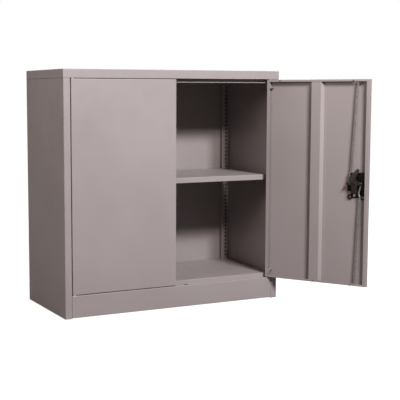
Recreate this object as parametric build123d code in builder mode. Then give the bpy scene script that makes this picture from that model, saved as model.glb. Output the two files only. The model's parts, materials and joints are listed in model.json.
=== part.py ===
from build123d import *

import os
from math import atan, cos, degrees, radians, sin, tan

# A low steel tool cabinet: a folded carcass on a plinth, one adjustable shelf on slotted
# uprights, and two pan doors that turn on pivot pins. The right door carries a turning
# handle whose cam catches the left door and drives two rods into the cap and the plinth.
# Frame: X to the right, Y to the back, Z up. The origin is on the floor, in the plane of
# the back, halfway between the sides. The left door is closed, the right one stands open.

os.makedirs("parts", exist_ok=True)

# Overall size and sheet, millimetres
cabinet_width = 900.0
cabinet_depth = 400.0
cabinet_height = 900.0
gauge = 1.0
bend_radius = 2.0
spot_gap = 0.3

# Carcass
cap_rim = 32.0
cap_lip = 12.0
stop_drop = 14.0
post_width = 26.0
post_depth = 20.0
rear_flange = 15.0
seat_flange = 15.0
plinth_height = 84.0
plinth_lift = 2.5
plinth_ledge = 45.0
plinth_fold = 20.0
floor_rise = 16.0
hat_crown = 40.0
hat_depth = 18.0
hat_foot = 14.0
hat_slope = 8.0

# Slotted uprights and shelf
rear_upright_width = 32.0
front_upright_width = 18.0
upright_depth = 15.0
slot_size = 8.0
slot_pitch = 16.0
slot_margin = 18.0
rear_slot_inset = 12.5
shelf_slot = 23
shelf_thickness = 20.0
shelf_lip = 10.0
shelf_end_gap = 2.0
shelf_front_setback = 30.0
clip_gauge = 2.0
clip_drop = 12.0
clip_reach = 18.0
clip_overlap = 20.0
clip_hook = 6.0
clip_gap = 1.0

# Doors
door_thickness = 16.0
door_end_lip = 8.0
door_hinge_lip = 12.0
door_free_lip = 13.5
door_side_gap = 3.0
door_top_gap = 2.0
door_bottom_gap = 2.5
centre_gap = 3.0
hinge_inset = 37.0
hinge_setback = 5.5
rest_opening = 122.0
stiffener_crown = 38.0
stiffener_slope = 9.0
stiffener_foot = 9.0
stiffener_shift = 4.0
buffer_diameter = 5.0
buffer_edge = 4.0
buffer_hinge_distance = 48.0
buffer_free_distance = 64.5

# Pivots
pin_diameter = 6.0
pin_fit = 0.05
upper_pin_length = 73.0
lower_pin_length = 50.0
bush_wall = 1.0
collar_diameter = 10.0
collar_clearance = 0.3
pivot_plate_gauge = 3.0
pivot_plate_length = 30.0
bracket_drop = 27.0
bracket_reach = 20.0
bracket_inset = 4.0
pin_ear_gauge = 2.0
pin_ear_reach = 25.0
pin_ear_width = 12.5
pin_ear_distance = 33.0
gusset_height = 18.0
gusset_gauge = 1.5

# Lock: turning handle, cam and rods
lock_inset = 53.0
case_width = 57.0
case_height = 96.0
case_depth = 7.0
case_plate_gauge = 2.0
case_shift = 7.5
case_drop = 7.0
case_corner = 3.0
case_wing_width = 10.0
case_wing_height = 33.0
case_wing_top = 4.0
ear_diameter = 19.0
ear_hole = 11.0
ear_spread = 25.5
ear_rise = 2.5
case_hole = 12.0
case_hole_shift = 12.0
case_hole_rise = 10.5
notch_diameter = 9.0
notch_rise = 20.5
plate_width = 64.0
plate_height = 104.0
plate_gauge = 2.5
handle_diameter = 42.0
handle_base = 4.0
wing_length = 62.0
wing_width = 13.0
wing_height = 17.0
cylinder_diameter = 19.0
plug_diameter = 13.0
plug_proud = 1.0
key_slot_length = 8.0
key_slot_width = 1.6
key_slot_depth = 5.0
running_fit = 0.1
spindle_diameter = 12.0
spindle_square = 8.0
cam_gauge = 2.5
cam_lip_gap = 1.0
cam_arm = 24.0
cam_arm_end = 7.0
cam_shoulder = 21.0
cam_shoulder_height = 24.0
cam_waist = 3.0
cam_waist_height = 18.0
cam_tongue = 58.0
cam_tongue_lean = 12.0
cam_tip = 8.0
cam_tab_width = 24.0
cam_tab_drop = 37.0
cam_tab_inset = 12.0
cam_screw_diameter = 12.0
cam_screw_head = 3.0
rod_diameter = 6.0
rod_depth = 11.5
rod_bend = 5.0
rod_end_proud = 2.0
rod_tip_inset = 0.5
rod_shift = 6.0
rod_knee = 38.0
rod_elbow = 51.0
upper_joggle = 8.0
lower_joggle = 5.0
upper_knee_shift = -2.5
lower_knee_shift = 9.0
rod_slot_clearance = 0.8

# Screws of the lower right pivot bracket
screw_head_diameter = 7.0
screw_head_height = 1.6
screw_diameter = 3.2

# Planes and places that follow from the sizes
half_width = cabinet_width / 2
inner_half = half_width - gauge
front = -cabinet_depth
cap_bottom = cabinet_height - cap_rim
post_edge = half_width - post_width
stop_plane = front + post_depth
stop_bottom = cap_bottom - stop_drop
floor_top = plinth_height + floor_rise

hinge_x = half_width - hinge_inset
hinge_y = front + hinge_setback
door_bottom = plinth_height + door_bottom_gap
door_top = cap_bottom - door_top_gap
door_height = door_top - door_bottom
door_hinge_edge = post_edge - door_side_gap
door_free_edge = centre_gap / 2
door_width = door_hinge_edge - door_free_edge
door_middle_x = (door_hinge_edge + door_free_edge) / 2
door_middle_z = (door_bottom + door_top) / 2
door_back = front + door_thickness

pin_radius = pin_diameter / 2
bush_radius = pin_radius + bush_wall
upper_collar = door_top_gap - collar_clearance
lower_collar = door_bottom_gap - collar_clearance

lock_x = door_free_edge + lock_inset
rod_y = front + rod_depth
cam_front = door_back + cam_lip_gap
rod_radius = rod_diameter / 2
rod_reach = door_height / 2
rod_tip_x = lock_x - rod_shift
half_stroke = cam_arm * sin(radians(45))
thrown_lean = degrees(atan(rod_shift / (rod_reach - cam_arm)))
rod_slot_width = rod_diameter + 2 * rod_slot_clearance

hinge_axis = Axis((hinge_x, hinge_y, 0), (0, 0, 1))


def rest_lean(up):
    """How far the rod above (up = 1) or below (up = -1) the cam leans at rest, in degrees."""
    return degrees(atan((up * cam_arm + rod_shift) / rod_reach))


def rod_drift(up):
    """How far a rod strays from its guide, along X, half-way through the handle's turn."""
    half_lean = radians((rest_lean(up) + thrown_lean) / 2)
    return up * half_stroke + rod_shift - (rod_reach - half_stroke) * tan(half_lean)


def rod_slot(up):
    """Add the slot that a rod slides and strays in to the sketch."""
    with Locations((rod_tip_x + rod_drift(up) / 2, rod_y)):
        SlotOverall(abs(rod_drift(up)) + rod_slot_width, rod_slot_width)


def folded(points, side=Side.LEFT, radius=bend_radius):
    """Add the section of a folded sheet, whose skin runs through the points, to the sketch."""
    with BuildLine() as skin:
        FilletPolyline(*points, radius=radius)
        offset(amount=gauge, side=side)
    make_face(skin.edges())


def cut_block(low, high):
    """Cut a rectangular block between two opposite corners out of the part in progress."""
    with Locations(low):
        Box(high[0] - low[0], high[1] - low[1], high[2] - low[2], align=Align.MIN, mode=Mode.SUBTRACT)


def pan(centre, width, depth, height, rounded):
    """Add an open-bottomed pan of folded sheet, with its top up and its upper edges rounded."""
    with BuildPart() as shell:
        with BuildSketch(Plane.XY.offset(centre[2])):
            with Locations((centre[0], centre[1])):
                Rectangle(width, depth)
        extrude(amount=height)
        fillet(shell.faces().sort_by(Axis.Z)[-1].edges(), radius=rounded)
        offset(amount=-gauge, openings=shell.faces().sort_by(Axis.Z)[0])
    return shell.part


def rim(centre, width, depth, margin):
    """The flat ring of sheet that is folded in under the walls of a pan."""
    with BuildPart() as ring:
        with BuildSketch(Plane.XY.offset(centre[2])):
            with Locations((centre[0], centre[1])):
                Rectangle(width, depth)
                Rectangle(width - 2 * margin, depth - 2 * margin, mode=Mode.SUBTRACT)
        extrude(amount=gauge)
    return ring.part


def hat_section(middle, base, crown, slope, foot, depth):
    """Add the section of a hat channel to the sketch: feet on the line y = base, depth signed."""
    flank = crown / 2 + slope
    inside = base + depth - (gauge if depth > 0 else -gauge)
    folded(
        [
            (middle - flank - foot, base),
            (middle - flank, base),
            (middle - crown / 2, inside),
            (middle + crown / 2, inside),
            (middle + flank, base),
            (middle + flank + foot, base),
        ],
        Side.LEFT if depth > 0 else Side.RIGHT,
    )


def keep(piece, name):
    """Name one finished piece and write it."""
    piece.label = name
    export_step(piece, f"parts/{name}.step")


def mirrored(piece):
    """The same piece for the left side."""
    with BuildPart() as twin:
        mirror(piece, about=Plane.YZ)
    return twin.part


def opened(piece):
    """The same piece of the right door where it stands open."""
    with BuildPart() as turned:
        add(piece.rotate(hinge_axis, rest_opening))
    return turned.part


# Side panel: the front post, the side and the rear flange are one folded sheet

bracket_top = plinth_height - gauge
bracket_bottom = bracket_top - bracket_drop
bracket_outer = inner_half - bracket_inset
seat_middle_x = inner_half - seat_flange / 2
seat_middle_y = (stop_plane - 2 * gauge) / 2
seat_length = -2 * gauge - stop_plane

with BuildPart() as side_panel:
    with BuildSketch(Plane.XY):
        folded(
            [
                (post_edge, stop_plane),
                (post_edge, front),
                (half_width, front),
                (half_width, -gauge),
                (half_width - rear_flange, -gauge),
            ]
        )
    extrude(amount=cap_bottom)
    for level in (0, cap_bottom - gauge):
        with BuildSketch(Plane.XY.offset(level)):
            with Locations((seat_middle_x, seat_middle_y)):
                Rectangle(seat_flange, seat_length)
        extrude(amount=gauge)
    cut_block(
        (post_edge - gauge, front + gauge, bracket_bottom - spot_gap),
        (post_edge + 2 * gauge, front + gauge + pivot_plate_gauge + spot_gap, bracket_top + spot_gap),
    )
keep(mirrored(side_panel.part), "side_panel_left")

plinth_screw = (post_edge - screw_head_diameter / 2 - gauge, bracket_top - screw_head_diameter / 2 - gauge)
post_screw = (post_edge + screw_head_diameter, bracket_bottom + screw_head_diameter / 2 + bend_radius)

with BuildPart() as side_panel_right:
    add(side_panel.part)
    with BuildSketch(Plane.XZ.offset(-front)):
        with Locations(post_screw):
            Circle(screw_diameter / 2)
    extrude(amount=-gauge, mode=Mode.SUBTRACT)
keep(side_panel_right.part, "side_panel_right")

# Back panel, spot-welded behind the rear flanges, with a fold to stand on

with BuildPart() as back_panel:
    with BuildSketch(Plane.YZ.offset(-half_width)):
        folded([(0, 0), (0, cap_bottom), (-seat_flange / 2, cap_bottom)])
    extrude(amount=cabinet_width)
    for side in (-1, 1):
        fold_end = (half_width - seat_flange - 2 * gauge) * side
        cut_block(
            (min(fold_end, half_width * side), -seat_flange, cap_bottom - bend_radius),
            (max(fold_end, half_width * side), -gauge, cap_bottom),
        )
    with BuildSketch(Plane.XY):
        with Locations((0, -seat_flange / 2)):
            Rectangle(2 * (half_width - seat_flange - 2 * gauge), seat_flange)
    extrude(amount=gauge)
keep(back_panel.part, "back_panel")

# Top cap: a pan turned over, its walls folded in at the seam, with the stop for the doors

with BuildPart() as top_cap:
    add(pan((0, front / 2, cap_bottom), cabinet_width, cabinet_depth, cap_rim, bend_radius))
    add(rim((0, front / 2, cap_bottom), cabinet_width, cabinet_depth, cap_lip))
    with BuildSketch(Plane.XY.offset(cap_bottom)):
        with Locations((0, front + (post_depth + gauge) / 2)):
            Rectangle(cabinet_width - 2 * cap_lip, post_depth + gauge)
    extrude(amount=gauge)
    with BuildSketch(Plane.XY.offset(stop_bottom)):
        with Locations((0, stop_plane + gauge / 2)):
            Rectangle(2 * (post_edge - gauge), gauge)
    extrude(amount=stop_drop + gauge)
    with BuildSketch(Plane.XY.offset(cap_bottom)):
        with Locations((hinge_x, hinge_y), (-hinge_x, hinge_y)):
            Circle(bush_radius)
        rod_slot(1)
    extrude(amount=gauge, mode=Mode.SUBTRACT)
keep(top_cap.part, "top_cap")

# Plinth: face, ledge and folds, with flanges that meet the posts

with BuildPart() as plinth:
    with BuildSketch(Plane.YZ.offset(-post_edge)):
        folded(
            [
                (front + plinth_fold, plinth_lift),
                (front, plinth_lift),
                (front, plinth_height),
                (front + plinth_ledge, plinth_height),
                (front + plinth_ledge, plinth_height - seat_flange),
            ],
            Side.RIGHT,
        )
    extrude(amount=2 * post_edge)
    for end in (-post_edge, post_edge - gauge):
        with BuildSketch(Plane.YZ.offset(end)):
            with Locations((front + (gauge + plinth_fold) / 2, (plinth_lift + plinth_height) / 2)):
                Rectangle(plinth_fold - gauge, plinth_height - plinth_lift - 2 * gauge)
        extrude(amount=gauge)
    for side in (-1, 1):
        end = side * post_edge
        cut_block(
            (end - 2 * gauge, front + gauge, bracket_bottom - spot_gap),
            (end + 2 * gauge, front + gauge + pivot_plate_gauge + spot_gap, bracket_top + spot_gap),
        )
    with BuildSketch(Plane.XY.offset(plinth_height)):
        with Locations((hinge_x, hinge_y), (-hinge_x, hinge_y)):
            Circle(bush_radius)
        rod_slot(-1)
    extrude(amount=-2 * gauge, mode=Mode.SUBTRACT)
    with BuildSketch(Plane.XZ.offset(-front)):
        with Locations(plinth_screw):
            Circle(screw_diameter / 2)
    extrude(amount=-gauge, mode=Mode.SUBTRACT)
keep(plinth.part, "plinth")

# Floor pan, seated on the plinth's ledge

inner_bend = bend_radius - gauge
floor_back = -2 * gauge - inner_bend
floor_middle_y = (stop_plane + floor_back) / 2
floor_depth = floor_back - stop_plane

with BuildPart() as floor_panel:
    add(pan((0, floor_middle_y, plinth_height), 2 * inner_half, floor_depth, floor_rise, bend_radius))
keep(floor_panel.part, "floor_panel")

# Hat channels that stiffen the top, the floor and the shelf from below


def hat_channel(top, depth, middle_y, length):
    """A hat channel along X under a sheet whose underside is at the given height."""
    with BuildPart() as channel:
        with BuildSketch(Plane.YZ.offset(-length / 2)):
            hat_section(middle_y, top, hat_crown, hat_slope, hat_foot, -depth)
        extrude(amount=length)
    return channel.part


shelf_bottom = floor_top + slot_margin + shelf_slot * slot_pitch - clip_drop
shelf_top = shelf_bottom + shelf_thickness
shelf_half = half_width - rear_upright_width - gauge - shelf_end_gap
shelf_front = front + shelf_front_setback
shelf_back = -2 * gauge - upright_depth - clip_gauge - clip_gap
shelf_middle_y = (shelf_front + shelf_back) / 2
shelf_depth = shelf_back - shelf_front

top_stiffener = hat_channel(cabinet_height - gauge, hat_depth, front / 2, 2 * (inner_half - cap_lip))
keep(top_stiffener, "top_stiffener")
floor_stiffener = hat_channel(floor_top - gauge, hat_depth, floor_middle_y, 2 * (inner_half - bend_radius))
keep(floor_stiffener, "floor_stiffener")
shelf_stiffener = hat_channel(
    shelf_top - gauge, shelf_thickness - 4 * gauge, shelf_middle_y, 2 * (shelf_half - bend_radius)
)
keep(shelf_stiffener, "shelf_stiffener")

# Shelf: a pan with its walls folded in below

with BuildPart() as shelf:
    add(pan((0, shelf_middle_y, shelf_bottom), 2 * shelf_half, shelf_depth, shelf_thickness, bend_radius))
    add(rim((0, shelf_middle_y, shelf_bottom), 2 * shelf_half, shelf_depth, shelf_lip))
keep(shelf.part, "shelf")

# Slotted uprights: channels between the floor and the cap, with a slot every pitch

upright_height = cap_bottom - gauge - floor_top
slot_count = int((upright_height - 2 * slot_margin) / slot_pitch) + 1
slot_middle = floor_top + slot_margin + (slot_count - 1) * slot_pitch / 2
rear_slot_x = inner_half - rear_slot_inset
front_slot_x = inner_half - front_upright_width / 2


def upright(width, web, foot, slot_x):
    """A channel whose slotted web is in the plane y = web and whose legs end at y = foot."""
    outer = Side.LEFT if web < foot else Side.RIGHT
    with BuildPart() as channel:
        with BuildSketch(Plane.XY.offset(floor_top)):
            folded(
                [
                    (inner_half - width, foot),
                    (inner_half - width, web),
                    (inner_half, web),
                    (inner_half, foot),
                ],
                outer,
            )
        extrude(amount=upright_height)
        with BuildSketch(Plane.XZ.offset(-web)):
            with Locations((slot_x, slot_middle)):
                with GridLocations(0, slot_pitch, 1, slot_count):
                    Rectangle(slot_size, slot_size)
        extrude(amount=2 * gauge, both=True, mode=Mode.SUBTRACT)
    return channel.part


rear_web = -2 * gauge - upright_depth
front_web = stop_plane + upright_depth + gauge
rear_upright = upright(rear_upright_width, rear_web, floor_back, rear_slot_x)
front_upright = upright(front_upright_width, front_web, front + bend_radius, front_slot_x)

# Shelf clips: a plate against the web, a hook through one slot and a shelf-bearing tab

clip_slot_z = shelf_bottom + clip_drop
clip_top = clip_slot_z + slot_size
clip_bottom = shelf_bottom - clip_gauge
clip_outer = inner_half - 2 * gauge
clip_inner = shelf_half + shelf_end_gap


def shelf_clip(web, out, slot_x):
    """A clip on the web in the plane y = web, whose tab points along out (+1 or -1)."""
    with BuildPart() as clip:
        with BuildSketch(Plane.XZ.offset(-web)):
            with Locations(((clip_outer + clip_inner) / 2, (clip_bottom + clip_top) / 2)):
                Rectangle(clip_outer - clip_inner, clip_top - clip_bottom)
        extrude(amount=-out * clip_gauge)
        with BuildSketch(Plane.XY.offset(clip_bottom)):
            with Locations(((clip_outer + shelf_half - clip_overlap) / 2, web + out * clip_reach / 2)):
                Rectangle(clip_outer - shelf_half + clip_overlap, clip_reach)
        extrude(amount=clip_gauge)
        with BuildSketch(Plane.XZ.offset(-web)):
            with Locations((slot_x, clip_slot_z)):
                Rectangle(clip_hook, clip_hook)
        extrude(amount=out * (gauge + clip_gauge))
        with BuildSketch(Plane.XZ.offset(-web + out * (gauge + spot_gap))):
            with Locations((slot_x, clip_slot_z - clip_hook / 2)):
                Rectangle(clip_hook, 2 * clip_hook)
        extrude(amount=out * clip_gauge)
        fillet(clip.edges().filter_by(Axis.Z).sort_by(Axis.X)[:2], radius=clip_gauge)
    return clip.part


rear_clip = shelf_clip(rear_web, -1, rear_slot_x)
front_clip = shelf_clip(front_web, 1, front_slot_x)

for name, piece in (
    ("rear_upright", rear_upright),
    ("front_upright", front_upright),
    ("rear_shelf_clip", rear_clip),
    ("front_shelf_clip", front_clip),
):
    keep(piece, f"{name}_right")
    keep(mirrored(piece), f"{name}_left")

# Pivot seats: a bracket under the ledge, a plate over the cap's fold and a bush in each

with BuildPart() as pivot_bracket:
    with BuildSketch(Plane.XZ.offset(-front - gauge)):
        with Locations(((post_edge - bracket_reach + bracket_outer) / 2, (bracket_bottom + bracket_top) / 2)):
            Rectangle(bracket_outer - post_edge + bracket_reach, bracket_drop)
    extrude(amount=-pivot_plate_gauge)
    with BuildSketch(Plane.XY.offset(bracket_top)):
        with Locations((post_edge - (gauge + bracket_reach) / 2, front + post_depth / 2)):
            Rectangle(bracket_reach - gauge, post_depth - 2 * gauge)
    extrude(amount=-pivot_plate_gauge)
    with BuildSketch(Plane.XY.offset(bracket_top)):
        with Locations((hinge_x, hinge_y)):
            Circle(bush_radius)
    extrude(amount=-bracket_drop, mode=Mode.SUBTRACT)
    bracket_ridge = pivot_bracket.edges().filter_by(Axis.X).group_by(Axis.Z)[-1].group_by(Axis.Y)[0]
    fillet(bracket_ridge, radius=inner_bend)
    with BuildSketch(Plane.XZ.offset(-front)):
        with Locations(plinth_screw, post_screw):
            Circle(screw_diameter / 2)
    extrude(amount=-gauge - pivot_plate_gauge, mode=Mode.SUBTRACT)

with BuildPart() as pivot_plate:
    with BuildSketch(Plane.XY.offset(cap_bottom + gauge)):
        with Locations((hinge_x, front + post_depth / 2)):
            Rectangle(pivot_plate_length, post_depth - 2 * gauge)
        with Locations((hinge_x, hinge_y)):
            Circle(bush_radius, mode=Mode.SUBTRACT)
    extrude(amount=pivot_plate_gauge)


def bush(seat, depth, collar):
    """A flanged bush on the pivot axis; depth and collar are signed, away from the seat."""
    outer = collar_diameter / 2
    bore = pin_radius + pin_fit
    with BuildPart() as sleeve:
        with BuildSketch(Plane.XZ):
            Polygon(
                (bore, seat + collar),
                (outer, seat + collar),
                (outer, seat),
                (bush_radius, seat),
                (bush_radius, seat + depth),
                (bore, seat + depth),
                align=None,
            )
        revolve(axis=Axis.Z)
    with BuildPart() as placed:
        with Locations((hinge_x, hinge_y, 0)):
            add(sleeve.part)
    return placed.part


lower_bush = bush(plinth_height, -gauge - pivot_plate_gauge, lower_collar)
upper_bush = bush(cap_bottom, gauge + pivot_plate_gauge, -upper_collar)

for name, piece in (
    ("lower_pivot_bracket", pivot_bracket.part),
    ("upper_pivot_plate", pivot_plate.part),
    ("lower_pivot_bush", lower_bush),
    ("upper_pivot_bush", upper_bush),
):
    keep(piece, f"{name}_right")
    keep(mirrored(piece), f"{name}_left")

# Screws of the lower right pivot bracket

for name, place in (("plinth_screw", plinth_screw), ("post_screw", post_screw)):
    with BuildPart() as screw:
        with BuildSketch(Plane.XZ.offset(-front)):
            with Locations(place):
                Circle(screw_head_diameter / 2)
        extrude(amount=screw_head_height)
        chamfer(screw.faces().sort_by(Axis.Y)[0].edges(), length=screw_head_height / 2)
        with BuildSketch(Plane.XZ.offset(-front)):
            with Locations(place):
                Circle(screw_diameter / 2)
        extrude(amount=-gauge - pivot_plate_gauge)
    keep(screw.part, name)


# Doors, made closed and on the right; the left door is the mirror image without the lock

inner_bottom = door_bottom + gauge
inner_top = door_top - gauge
stiffener_x = door_middle_x + stiffener_shift
window_width = door_width - door_hinge_lip - door_free_lip
window_height = door_height - 2 * door_end_lip
window_x = door_middle_x + (door_free_lip - door_hinge_lip) / 2
buffer_length = stop_plane - collar_clearance - door_back
buffer_high = door_top - buffer_edge
buffer_low = door_bottom + buffer_edge
buffers = {
    "upper_hinge_side_buffer": (hinge_x - buffer_hinge_distance, buffer_high),
    "upper_free_side_buffer": (door_free_edge + buffer_free_distance, buffer_high),
    "lower_middle_buffer": (stiffener_x, buffer_low),
    "lower_free_side_buffer": (door_free_edge + buffer_free_distance, buffer_low),
}

with BuildPart() as door_pan:
    with BuildSketch(Plane.XZ.offset(-front)):
        with Locations((door_middle_x, door_middle_z)):
            Rectangle(door_width, door_height)
    extrude(amount=-door_thickness)
    fillet(door_pan.faces().sort_by(Axis.Y)[0].edges(), radius=bend_radius)
    offset(amount=-gauge, openings=door_pan.faces().sort_by(Axis.Y)[-1])
    with BuildSketch(Plane.XZ.offset(-door_back)):
        with Locations((door_middle_x, door_middle_z)):
            Rectangle(door_width, door_height)
        with Locations((window_x, door_middle_z)):
            Rectangle(window_width, window_height, mode=Mode.SUBTRACT)
    extrude(amount=gauge)
    fillet(door_pan.faces().sort_by(Axis.Y)[-1].outer_wire().edges(), radius=1.5 * gauge)
    with BuildSketch(Plane.XY.offset(door_bottom)):
        with Locations((hinge_x, hinge_y)):
            Circle(pin_radius)
    extrude(amount=door_height, mode=Mode.SUBTRACT)

with BuildPart() as door_stiffener:
    with BuildSketch(Plane.XY.offset(inner_bottom + inner_bend)):
        hat_section(
            stiffener_x,
            front + gauge,
            stiffener_crown,
            stiffener_slope,
            stiffener_foot,
            door_thickness - 2 * gauge,
        )
    extrude(amount=inner_top - inner_bottom - 2 * inner_bend)

# Pivot pins, with the brackets that hold them inside the hinge corners of each door

upper_pin_top = cap_bottom + gauge + pivot_plate_gauge
upper_pin_bottom = upper_pin_top - upper_pin_length
lower_pin_bottom = plinth_height - gauge - pivot_plate_gauge
lower_pin_top = lower_pin_bottom + lower_pin_length


def pivot_pin(bottom, top):
    """A pin on the hinge axis with chamfered ends."""
    with BuildPart() as pin:
        with BuildSketch(Plane.XY.offset(bottom)):
            with Locations((hinge_x, hinge_y)):
                Circle(pin_radius)
        extrude(amount=top - bottom)
        chamfer(pin.edges().filter_by(GeomType.CIRCLE), length=gauge / 2)
    return pin.part


def pin_bracket(ear, up):
    """An angle on the hinge wall: an ear round the pin and a gusset; up is +1 or -1."""
    wall = door_hinge_edge - gauge
    tip = wall - pin_ear_reach
    face = front + bend_radius
    with BuildPart() as bracket:
        with BuildSketch(Plane.XY.offset(ear)):
            with Locations((wall - pin_ear_reach / 2, face + pin_ear_width / 2)):
                Rectangle(pin_ear_reach, pin_ear_width)
            with Locations((hinge_x, hinge_y)):
                Circle(pin_radius, mode=Mode.SUBTRACT)
        extrude(amount=up * pin_ear_gauge)
        with BuildSketch(Plane.XZ.offset(-face - pin_ear_width)):
            Polygon(
                (wall, ear),
                (tip, ear),
                (wall - pin_ear_reach / 2, ear + up * gusset_height),
                (wall, ear + up * gusset_height),
                align=None,
            )
        extrude(amount=gusset_gauge)
        with BuildSketch(Plane.YZ.offset(wall)):
            with Locations((face + pin_ear_width / 2, ear + up * gusset_height / 2)):
                Rectangle(pin_ear_width, gusset_height)
        extrude(amount=-gusset_gauge)
    return bracket.part


upper_pin = pivot_pin(upper_pin_bottom, upper_pin_top)
lower_pin = pivot_pin(lower_pin_bottom, lower_pin_top)
upper_pin_bracket = pin_bracket(door_top - pin_ear_distance, 1)
lower_pin_bracket = pin_bracket(door_bottom + pin_ear_distance, -1)

door_pieces = {
    "door_stiffener": door_stiffener.part,
    "upper_pivot_pin": upper_pin,
    "lower_pivot_pin": lower_pin,
    "upper_pin_bracket": upper_pin_bracket,
    "lower_pin_bracket": lower_pin_bracket,
}

for name, (buffer_x, buffer_z) in buffers.items():
    with BuildPart() as buffer:
        with BuildSketch(Plane.XZ.offset(-door_back)):
            with Locations((buffer_x, buffer_z)):
                Circle(buffer_diameter / 2)
        extrude(amount=-buffer_length)
        chamfer(buffer.faces().sort_by(Axis.Y)[-1].edges(), length=gauge)
    door_pieces[name] = buffer.part

for name, piece in door_pieces.items():
    keep(opened(piece), f"right_{name}")
    keep(mirrored(piece), f"left_{name}")
keep(mirrored(door_pan.part), "left_door_pan")

spindle_radius = spindle_diameter / 2
spindle_hole = spindle_radius + running_fit

with BuildPart() as right_pan:
    add(door_pan.part)
    with BuildSketch(Plane.XZ.offset(-front)):
        with Locations((lock_x, door_middle_z)):
            Circle(spindle_hole)
    extrude(amount=-gauge, mode=Mode.SUBTRACT)
    with BuildSketch(Plane.XY.offset(door_top)):
        rod_slot(1)
    extrude(amount=-gauge, mode=Mode.SUBTRACT)
    with BuildSketch(Plane.XY.offset(door_bottom)):
        rod_slot(-1)
    extrude(amount=gauge, mode=Mode.SUBTRACT)
keep(opened(right_pan.part), "right_door_pan")

# Lock case inside the door: a block on a plate with two screw ears, and the plate outside

case_x = lock_x - case_shift
case_z = door_middle_z - case_drop
case_end = case_x + case_width / 2
case_bottom = case_z - case_height / 2
case_top = case_z + case_height / 2
case_wing_z = door_middle_z + case_wing_top - case_wing_height / 2
case_block_bottom = case_wing_z - case_wing_height / 2
ear_middle_x = case_x + case_wing_width / 2
ear_z = case_bottom + ear_rise

with BuildPart() as lock_case:
    with BuildSketch(Plane.XZ.offset(-front - gauge)):
        with Locations((case_x, case_z)):
            RectangleRounded(case_width, case_height, case_corner)
        with Locations((ear_middle_x - ear_spread, ear_z), (ear_middle_x + ear_spread, ear_z)):
            Circle(ear_diameter / 2)
            Circle(ear_hole / 2, mode=Mode.SUBTRACT)
        with Locations((case_x + case_hole_shift, case_bottom + case_hole_rise)):
            Circle(case_hole / 2, mode=Mode.SUBTRACT)
        with Locations((case_end, case_bottom + notch_rise)):
            Circle(notch_diameter / 2, mode=Mode.SUBTRACT)
    extrude(amount=-case_plate_gauge)
    with BuildSketch(Plane.XZ.offset(-front - gauge)):
        with Locations((case_x, (case_block_bottom + case_top) / 2)):
            RectangleRounded(case_width, case_top - case_block_bottom, case_corner)
        with Locations((case_end, case_wing_z)):
            Rectangle(2 * case_wing_width, case_wing_height)
    extrude(amount=-case_depth)
    with BuildSketch(Plane.XZ.offset(-front - gauge)):
        with Locations((lock_x, door_middle_z)):
            Circle(spindle_hole)
    extrude(amount=-case_depth, mode=Mode.SUBTRACT)

with BuildPart() as handle_plate:
    with BuildSketch(Plane.XZ.offset(-front)):
        with Locations((lock_x, door_middle_z)):
            RectangleRounded(plate_width, plate_height, case_corner + plate_gauge)
            Circle(spindle_hole, mode=Mode.SUBTRACT)
    extrude(amount=plate_gauge)
    chamfer(handle_plate.faces().sort_by(Axis.Y)[0].outer_wire().edges(), length=plate_gauge / 2)

# Turning handle: a round base and a tapered wing, round the key cylinder

base_plane = front - plate_gauge - running_fit
wing_plane = base_plane - handle_base
grip_plane = wing_plane - wing_height

with BuildPart() as wing_handle:
    with BuildSketch(Plane.XZ.offset(-base_plane)):
        with Locations((lock_x, door_middle_z)):
            Circle(handle_diameter / 2)
    extrude(amount=handle_base)
    chamfer(wing_handle.faces().sort_by(Axis.Y)[0].edges(), length=gauge)
    with BuildSketch(Plane.XZ.offset(-wing_plane)):
        with Locations((lock_x, door_middle_z)):
            SlotOverall(wing_length, wing_width, rotation=90)
    extrude(amount=wing_height)
    chamfer(wing_handle.faces().sort_by(Axis.Y)[0].edges(), length=2 * gauge)
    with BuildSketch(Plane.XZ.offset(-wing_plane)):
        with Locations((lock_x, door_middle_z)):
            Circle(cylinder_diameter / 2 + gauge)
    extrude(amount=wing_height)
    with BuildSketch(Plane.XZ.offset(-grip_plane)):
        with Locations((lock_x, door_middle_z)):
            Circle(cylinder_diameter / 2)
    extrude(amount=-wing_height, mode=Mode.SUBTRACT)

with BuildPart() as key_cylinder:
    with BuildSketch(Plane.XZ.offset(-wing_plane)):
        with Locations((lock_x, door_middle_z)):
            Circle(cylinder_diameter / 2)
    extrude(amount=wing_height)
    with BuildSketch(Plane.XZ.offset(-grip_plane)):
        with Locations((lock_x, door_middle_z)):
            Circle(plug_diameter / 2 + running_fit / 2)
    extrude(amount=-wing_height, mode=Mode.SUBTRACT)

with BuildPart() as key_plug:
    with BuildSketch(Plane.XZ.offset(-wing_plane)):
        with Locations((lock_x, door_middle_z)):
            Circle(plug_diameter / 2)
    extrude(amount=wing_height + plug_proud)
    chamfer(key_plug.faces().sort_by(Axis.Y)[0].edges(), length=gauge / 2)
    with BuildSketch(Plane.XZ.offset(-grip_plane + plug_proud)):
        with Locations((lock_x, door_middle_z)):
            Rectangle(key_slot_width, key_slot_length)
    extrude(amount=-key_slot_depth, mode=Mode.SUBTRACT)

# Spindle, cam and its screw, with the tongue up as it is when the lock is open

cam_back = cam_front + cam_gauge

with BuildPart() as spindle:
    with BuildSketch(Plane.XZ.offset(-base_plane)):
        with Locations((lock_x, door_middle_z)):
            Circle(spindle_radius)
    extrude(amount=base_plane - cam_front + gauge)
    with BuildSketch(Plane.XZ.offset(-cam_front + gauge)):
        with Locations((lock_x, door_middle_z)):
            Rectangle(spindle_square, spindle_square)
    extrude(amount=-cam_gauge - gauge)

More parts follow.
